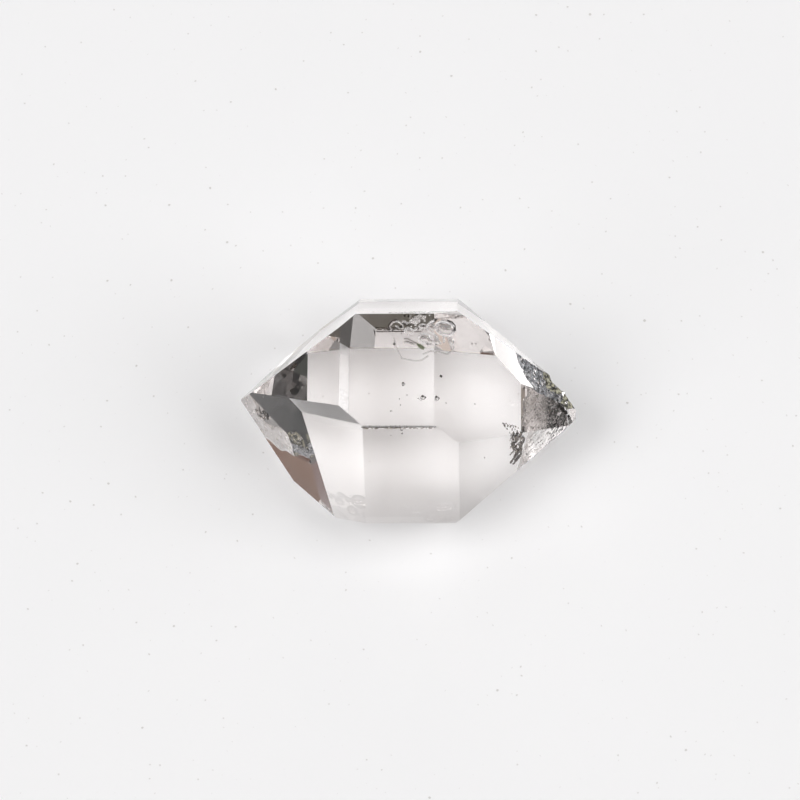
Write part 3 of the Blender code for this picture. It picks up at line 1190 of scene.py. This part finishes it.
def mineral_material(name, dark, pale, grain):
    """A dull mineral with two mixed colours and a fine uneven skin."""
    material = bpy.data.materials.new(name)
    material.use_nodes = True
    tree = material.node_tree
    shader = tree.nodes["Principled BSDF"]
    where = Wire.node(tree, "ShaderNodeTexCoord", output="Object")
    inputs = {"Vector": where, "Scale": grain, "Detail": 3.0}
    mottle = Wire.node(tree, "ShaderNodeTexNoise", inputs=inputs)
    colour = mix_colours(tree, mottle, (*dark, 1.0), (*pale, 1.0))
    bump_inputs = {"Strength": 0.4, "Distance": 0.01 * MM, "Height": mottle}
    bump = Wire.node(tree, "ShaderNodeBump", inputs=bump_inputs)
    tree.links.new(colour.socket, shader.inputs["Base Color"])
    tree.links.new((0.55 + mottle * 0.3).socket, shader.inputs["Roughness"])
    tree.links.new(bump.socket, shader.inputs["Normal"])
    return material


def add_mineral(form, name, material):
    """A mineral piece closed into the crystal."""
    form.transform(TO_MODEL)
    piece = make_object(form, name)
    piece.data.materials.append(material)
    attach(piece, "root")
    return piece


# Carbon for the grains, also painting shade on the hollows' walls and at the tip.
carbon_and_painted_shade = mineral_material("carbon_and_painted_shade", (0.006, 0.005, 0.004), (0.03, 0.022, 0.018), 9000.0)
grains_and_painted_shade = add_mineral(grains_and_shade_skins_form(), "dark_grains_and_painted_shade", carbon_and_painted_shade)
green = mineral_material("grey_green_mineral", (0.09, 0.11, 0.06), (0.24, 0.27, 0.17), 5000.0)
sliver = add_mineral(sliver_form(), "green_sliver", green)
print("grains_and_painted_shade", len(GRAINS), "sliver faces", len(sliver.data.polygons))

# %% [markdown]
# ## Brown lumps in the bruise and painted shade along the worn edge
#
# Dull lumps just under the surface make the bruise brown. Along the worn edge the same lumps are
# painted shade: they paint the dark line that the worn, rounded edge bends towards us. They lie in
# slanting cracks that follow the notches, with small crumbs around their upper ends, and as a
# broken string of crumbs along the edge. Places near an edge of the crystal can lie outside its
# other face, so each crumb is pushed in until it lies under all eighteen faces.

# %% Fill the bruise with brown lumps and paint shade along the worn edge
BRUISE_LUMP_ROWS = (
    # where it starts on the right front face, its length and width in mm, its slant in degrees
    ((7.20, -3.02), 0.75, 0.16, 48.0),
    ((7.16, -3.36), 1.05, 0.17, 50.0),
    ((7.20, -3.66), 1.15, 0.27, 51.0),
    ((7.38, -3.66), 0.95, 0.25, 52.0),
)
CRACK_LUMPS = 14
CRACK_DEPTH = 0.21
BRUISE_CRUMBS = 90
LEAST_DEPTH = 0.12
LEAST_EDGE_DEPTH = 0.06
EDGE_SHADE_DEPTH = 0.14
# Crumbs along the worn edge are painted shade.
EDGE_SHADE_CRUMBS = (
    # first and last X, how many crumbs and their size, along the worn edge
    (-2.30, 0.02, 84, 0.036),
    (-0.10, 0.20, 6, 0.050),
    (0.40, 0.95, 12, 0.036),
    (1.60, 2.35, 14, 0.038),
)


def sunk(spot, depth):
    """The spot, moved until it lies at least this deep under every crystal face."""
    for _ in range(3):
        for face in FACES.values():
            proud = face.out.dot(spot) - face.distance + depth
            if proud > 0:
                spot = spot - face.out * proud
    return spot


def bruise_lumps_and_edge_shade_form():
    """Slanting rows of lumps, and crumbs, just under the faces."""
    bm = bmesh.new()
    draw = random.Random(7)
    for (x, y), length, width, slant in BRUISE_LUMP_ROWS:
        way = Vector((math.cos(math.radians(slant)), math.sin(math.radians(slant)), 0))
        start = bruised_face.point(x, y)
        end = bruised_face.point(x + way.x * length, y + way.y * length)
        for number in range(CRACK_LUMPS):
            part = (number + 0.5) / CRACK_LUMPS
            size = width * (0.55 + 0.45 * math.sin(math.pi * part)) * draw.uniform(0.5, 1.0)
            shift = Vector([draw.uniform(-0.03, 0.03) for _ in range(3)])
            spot = start.lerp(end, part) + shift - bruised_face.out * CRACK_DEPTH
            spot = sunk(spot, LEAST_DEPTH)
            add_lump(bm, spot, size * 0.6, number * 3.3 + x, 0.6)
    for number in range(BRUISE_CRUMBS):
        x = 7.18 + 0.75 * draw.random() ** 1.4
        y = draw.uniform(-3.00, -1.80)
        spot = bruised_face.point(x, y) - bruised_face.out * draw.uniform(0.10, 0.20)
        spot = sunk(spot, LEAST_DEPTH)
        add_lump(bm, spot, draw.uniform(0.02, 0.058), number * 1.9, 0.7)
    # A dark line of crumbs along the worn edge: painted shade.
    for first, last, count, size in EDGE_SHADE_CRUMBS:
        for number in range(count):
            x = first + (last - first) * (number + draw.random()) / count
            y = EDGE_CENTRE[1] + draw.uniform(-0.02, 0.02)
            spot = worn_face.point(x, y) - worn_face.out * EDGE_SHADE_DEPTH
            spot = sunk(spot, LEAST_EDGE_DEPTH)
            add_lump(bm, spot, size * draw.uniform(0.7, 1.1), number * 2.3 + first, 0.8)
    return bm


# Brown lumps for the bruise, the same lumps as painted shade along the worn edge.
brown = mineral_material("bruise_brown_and_edge_shade", (0.035, 0.028, 0.024), (0.15, 0.125, 0.105), 7000.0)
bruise_lumps_and_edge_shade = add_mineral(bruise_lumps_and_edge_shade_form(), "bruise_lumps_and_edge_shade", brown)
print("clay faces", len(bruise_lumps_and_edge_shade.data.polygons))
